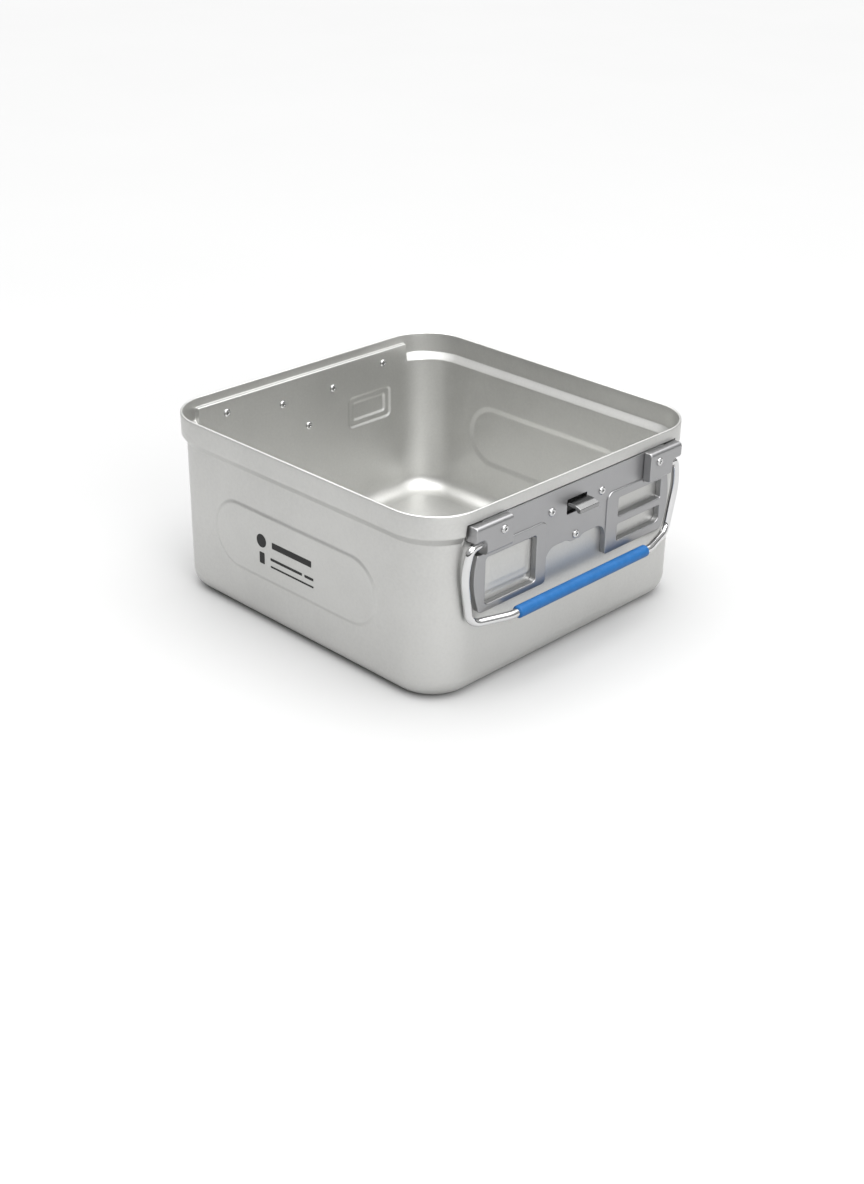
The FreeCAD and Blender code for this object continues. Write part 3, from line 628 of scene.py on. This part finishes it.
cap = {"inner": 72.5, "outer": 108.0, "archStart": 98.0, "archRound": 4.0, "archSteps": 6, "low": 108.5,
       "hoodLow": 119.0, "top": 130.5, "front": 149.5, "back": 142.5, "hoodBack": 139.0, "hoodInner": 96.5,
       "topRound": 2.8, "lowRound": 2.8, "backRound": (0.3, 0.5), "edge": 0.9}


def capSection(y, low, back, inset=0.0):
    front, top = cap["front"] - inset, cap["top"] - inset
    lowBack, topBack = cap["backRound"]
    corners = [((back + inset, low + inset), lowBack, 1, 2), ((front, low + inset), cap["lowRound"], 1, 6),
               ((front, top), cap["topRound"], 1, 8), ((back + inset, top), topBack, 1, 3)]
    return [Vector((x, y, z)) for x, z in rounded(corners, closed=True)]


def makeHingeCap(side, sign):
    edge, arch, steps = cap["edge"], cap["archRound"], cap["archSteps"]
    rings = [capSection(cap["inner"] + depth * edge, cap["low"], cap["back"], inset * edge)
             for depth, inset in softSteps]
    rings += [capSection(cap[place], cap["low"], cap["back"]) for place in ("hoodInner", "archStart")]
    for step in range(steps + 1):  # the round corner of the arch
        turn = math.radians(90 * step / steps)
        rings.append(capSection(cap["archStart"] + arch * (1 - math.cos(turn)),
                                cap["hoodLow"] - arch * (1 - math.sin(turn)),
                                cap["back"] if step == 0 else cap["hoodBack"]))
    rings += [capSection(cap["outer"] - depth * edge, cap["hoodLow"], cap["hoodBack"], inset * edge)
              for depth, inset in reversed(softSteps)]
    if sign < 0:
        rings = [[Vector((x, -y, z)) for x, y, z in ring] for ring in rings]
    name = ends[side][1][sign]
    piece = newPiece(f"{side}{name.title()}HingeCap", *atEnd(side, [loft(rings)]), "bracket_aluminium",
                     "container", [f"{side}_{name}_hinge_cap"])
    return softened(welded(piece), 50)


# Catch hook: a bent strip, its profile as (X, Z, radius)

hook = {"profile": [(138.6, 114.5, 0), (149.0, 114.5, 2.0), (151.5, 111.9, 0), (154.0, 111.9, 0.4),
                    (154.0, 115.1, 0.6), (149.0, 117.0, 7.0), (138.6, 117.0, 0)],
        "half": 10.0, "edge": 0.3, "arc": 8}


def hookSection(y, inset):
    path = rounded([((x, z), radius, 1, hook["arc"]) for x, z, radius in hook["profile"]], closed=True)
    ring = []
    for index, place in enumerate(path):
        along = (path[(index + 1) % len(path)] - path[index - 1]).normalized()
        ring.append(Vector((place.x - along.y * inset, y, place.y + along.x * inset)))
    return ring


def makeHook(side):
    edge, half = hook["edge"], hook["half"]
    rings = [hookSection(-half + depth * edge, inset * edge) for depth, inset in softSteps]
    rings += [hookSection(half - depth * edge, inset * edge) for depth, inset in reversed(softSteps)]
    piece = newPiece(side + "CatchHook", *atEnd(side, [loft(rings)]), "hook_steel", "container",
                     [side + "_catch_hook"])
    return softened(welded(piece), 50)


# Rivets: a crown on each side of the sheet, a bore and the broken-off mandrel in it

rivet = {"head": 3.2, "crown": 1.4, "crownFall": 0.1, "headRound": 1.25, "footRound": 0.15, "shank": 2.0,
         "bore": 1.0, "boreRise": 0.3, "boreRound": 0.35, "arc": 5, "wallInside": 136.5, "weld": 0.000002,
         "cap": (82.0, 122.8), "catch": [(-26.5, 115.0), (26.5, 115.0), (0.0, 90.2)]}
mandrel = {"sink": 0.35, "core": 0.25, "dish": 0.1, "flat": 0.8, "round": 0.15, "sides": 16}


def crownProfile(face, way):  # from the bore over the crown to the shank, way is +1 outside and -1 inside
    crown = rivet["crown"]
    corners = [(rivet["bore"], face + way * rivet["boreRise"], 0),
               (rivet["bore"] + 0.05, face + way * crown, rivet["boreRound"]),
               (rivet["head"] - 0.25, face + way * (crown - rivet["crownFall"]), rivet["headRound"]),
               (rivet["head"], face, rivet["footRound"]), (rivet["shank"], face, 0)]
    return [(point.x, point.y) for point in
            rounded([((x, z), radius, 1, rivet["arc"]) for x, z, radius in corners])]


def makeRivets(name, side, places, front, stoodFor):
    parts = []
    for y, z in places:
        profile = crownProfile(front, 1) + crownProfile(rivet["wallInside"], -1)[::-1]
        rings = turnedRings(profile + profile[:1], Vector((0, y, z)), (1, 0, 0))
        parts.append(loft(rings, closedEnds=False))
    piece = newPiece(name, *atEnd(side, parts), "rivet_steel", "container", stoodFor)
    return welded(piece, rivet["weld"])


def makeMandrels(side):
    parts = []
    places = [(sign * rivet["cap"][0], rivet["cap"][1], cap["front"]) for sign in (-1, 1)]
    places += [(y, z, bracket["front"]) for y, z in rivet["catch"]]
    depth, bore = rivet["crown"] - mandrel["sink"], rivet["bore"]
    for y, z, front in places:
        out, inside = front + depth, rivet["wallInside"] - depth
        profile = [(mandrel["core"], inside + mandrel["dish"]), (mandrel["flat"], inside),
                   (bore, inside + mandrel["round"]), (bore, out - mandrel["round"]),
                   (mandrel["flat"], out), (mandrel["core"], out - mandrel["dish"])]
        parts.append(loft(turnedRings(profile, Vector((0, y, z)), (1, 0, 0), mandrel["sides"])))
    return newPiece(side + "Mandrels", *atEnd(side, parts), "mandrel_steel", "container",
                    [side + "_rivet_mandrels"])


# Bail: the bent rod, and the sleeve on its grip. The route is measured from the hinge's middle.

bail = {"rod": 3.0, "runs": 6,
        "route": [(0.0, 76.0, 0.0, 0, 4), (0.0, 108.1, 0.0, 6.0, 10), (-1.1, 112.7, -19.0, 50.0, 10),
                  (-1.9, 105.4, -57.5, 10.0, 14), (8.2, 75.4, -57.5, 18.0, 8)]}
sleeve = {"radius": 4.5, "half": 69.5, "round": 1.5, "bore": 3.02, "rings": 30, "arc": 6, "sides": 40,
          "weld": 0.000002}


def makeBail(side):
    half = [(hinge + Vector((x, y, z)), radius, bail["runs"], steps)
            for x, y, z, radius, steps in bail["route"]]
    whole = [(Vector((place.x, -place.y, place.z)), radius, runs, steps)
             for place, radius, runs, steps in half]
    route = rounded(whole + half[::-1])
    rod = newPiece(side + "BailRod", *atEnd(side, [tube(route, bail["rod"])]), "polished_rod",
                   side + "_handle", [side + "_bail"])
    softened(rod, 60)
    reach, end = sleeve["half"], sleeve["round"]
    corners = [(sleeve["bore"], -reach, 0, 1), (sleeve["radius"], -reach, end, sleeve["rings"]),
               (sleeve["radius"], reach, end, 1), (sleeve["bore"], reach, 0, 1)]
    profile = [(point.x, point.y) for point in
               rounded([((x, z), radius, runs, sleeve["arc"]) for x, z, radius, runs in corners])]
    middle = hinge + Vector((bail["route"][-1][0], 0, bail["route"][-1][2]))
    rings = turnedRings(profile + profile[:1], middle, (0, 1, 0), sleeve["sides"])
    grip = newPiece(side + "GripSleeve", *atEnd(side, [loft(rings, closedEnds=False)]), "blue_silicone",
                    side + "_handle", [side + "_grip"])
    welded(grip, sleeve["weld"])


for side in ends:
    makeBracket(side)
    makeHook(side)
    for sign in (-1, 1):
        makeHingeCap(side, sign)
        name = ends[side][1][sign]
        makeRivets(f"{side}{name.title()}CapRivet", side, [(sign * rivet["cap"][0], rivet["cap"][1])],
                   cap["front"], [f"{side}_{name}_cap_rivet"])
    makeRivets(side + "CatchRivets", side, rivet["catch"], bracket["front"], [side + "_catch_rivets"])
    makeMandrels(side)
    makeBail(side)
    print(side, "end made")


# Print mark on the front wall: a disc and plain bars, a film of ink on the pressed field

mark = {"film": 0.06, "filmDepth": 0.8, "disc": (-33.5, 69.0, 5.2), "discSides": 40,
        "bars": [(-22.0, 66.5, 42.0, 5.0), (-24.0, 56.5, 34.0, 2.2), (12.5, 56.5, 9.5, 2.2),
                 (-36.0, 51.0, 5.5, 9.0), (-24.0, 51.0, 46.0, 1.5)],
        "round": 0.6, "arc": 4, "weld": 0.000001}


def makeMark():
    y = -(wallY + tub["fieldRise"] + mark["film"])
    x, z, radius = mark["disc"]
    turns = [2 * math.pi * k / mark["discSides"] for k in range(mark["discSides"])]
    paths = [[(x + radius * math.cos(turn), z + radius * math.sin(turn)) for turn in turns]]
    for left, low, width, high in mark["bars"]:
        corners = [(left, low), (left + width, low), (left + width, low + high), (left, low + high)]
        paths.append(rounded([(corner, mark["round"], 1, mark["arc"]) for corner in corners], closed=True))
    parts = []
    for path in paths:
        front = [Vector((px, y, pz)) * mm for px, pz in path]
        back = [Vector((px, y + mark["film"] * mark["filmDepth"], pz)) * mm for px, pz in path]
        parts.append(loft([back, front]))
    piece = newPiece("printMark", *joined(parts), "print_ink", "container")
    return softened(welded(piece, mark["weld"]), 30)


makeMark()


# The carried-over pieces get their finishes
for part in frame["record"]["subparts"]:
    shown = frame["nodes"][part["node"]]
    shown.data.materials.clear()
    shown.data.materials.append(finishes[part["material_slot"]])
print("finishes given to the carried-over pieces")


# Stage, light and camera

stage = {"size": 12.0, "colour": 0.37, "change": 0.01, "patches": 3.0}


def makeStage():
    half = stage["size"] / 2
    mesh = bpy.data.meshes.new("floorSheet")
    corners = [(-half, -half, 0), (half, -half, 0), (half, half, 0), (-half, half, 0)]
    mesh.from_pydata(corners, [], [(0, 1, 2, 3)])
    sheet = bpy.data.objects.new("floorSheet", mesh)
    bpy.context.scene.collection.objects.link(sheet)
    material, nodes, shader = newFinish("paper", Roughness=0.9, Specular_IOR_Level=0.1)
    feed(nodes, shader, Base_Color=nodes.blend(nodes.noise(stage["patches"]), grey(stage["colour"]),
                                               grey(stage["colour"] + stage["change"])))
    mesh.materials.append(material)


studio = {"lamps": {"key": (2.0, 1.2, (-0.5, 0.4, 2.0), (0.0, 0.0, 0.0)),
                    "front": (22.0, 1.0, (1.6, -0.5, 1.0), (0.4, 0.0, 0.0))},
          "horizon": 0.04, "middle": 0.5, "zenith": 5.2, "rise": (0.02, 0.3), "top": (0.55, 0.95)}


def makeStudio():
    for name, (power, size, place, target) in studio["lamps"].items():
        light = bpy.data.lights.new(name, "AREA")
        light.shape, light.size, light.energy = "SQUARE", size, power
        lamp = bpy.data.objects.new(name, light)
        lamp.location = place
        lamp.rotation_euler = (Vector(target) - Vector(place)).to_track_quat("-Z", "Y").to_euler()
        lamp.visible_camera = False
        bpy.context.scene.collection.objects.link(lamp)
    world = bpy.data.worlds.new("studio")
    world.use_nodes = True
    nodes = Nodes(world.node_tree)
    height = nodes.add("ShaderNodeSeparateXYZ", None, {0: nodes.add("ShaderNodeTexCoord", output=0)}, output=2)
    glow = (nodes.step(height, *studio["rise"]) * (studio["middle"] - studio["horizon"]) + studio["horizon"]
            + nodes.step(height, *studio["top"]) * (studio["zenith"] - studio["middle"]))
    background = world.node_tree.nodes["Background"]
    world.node_tree.links.new(glow.socket, background.inputs["Color"])
    bpy.context.scene.world = world


camera = {"azimuth": 44.306, "elevation": 27.353, "roll": 0.911, "distance": 1271.935,
          "target": (14.407, -10.653, 0.398), "lens": 50.61}


def makeCamera():
    azimuth, elevation, roll = (math.radians(camera[key]) for key in ("azimuth", "elevation", "roll"))
    back = Vector((math.sin(azimuth) * math.cos(elevation), -math.cos(azimuth) * math.cos(elevation),
                   math.sin(elevation)))
    right = Vector((0, 0, 1)).cross(back).normalized()
    up = back.cross(right)
    turn = Matrix.Rotation(roll, 3, back)
    right, up = turn @ right, turn @ up
    data = bpy.data.cameras.new("camera")
    data.lens, data.sensor_width, data.sensor_fit = camera["lens"], 36.0, "AUTO"
    data.clip_start, data.clip_end = 0.05, 50.0
    eye = bpy.data.objects.new("camera", data)
    place = (Vector(camera["target"]) + back * camera["distance"]) * mm
    eye.matrix_world = Matrix.Translation(place) @ Matrix((right, up, back)).transposed().to_4x4()
    bpy.context.scene.collection.objects.link(eye)
    bpy.context.scene.camera = eye


makeStage()
makeStudio()
makeCamera()
bpy.context.scene.view_settings.view_transform = "Standard"
print("stage, light and camera set")
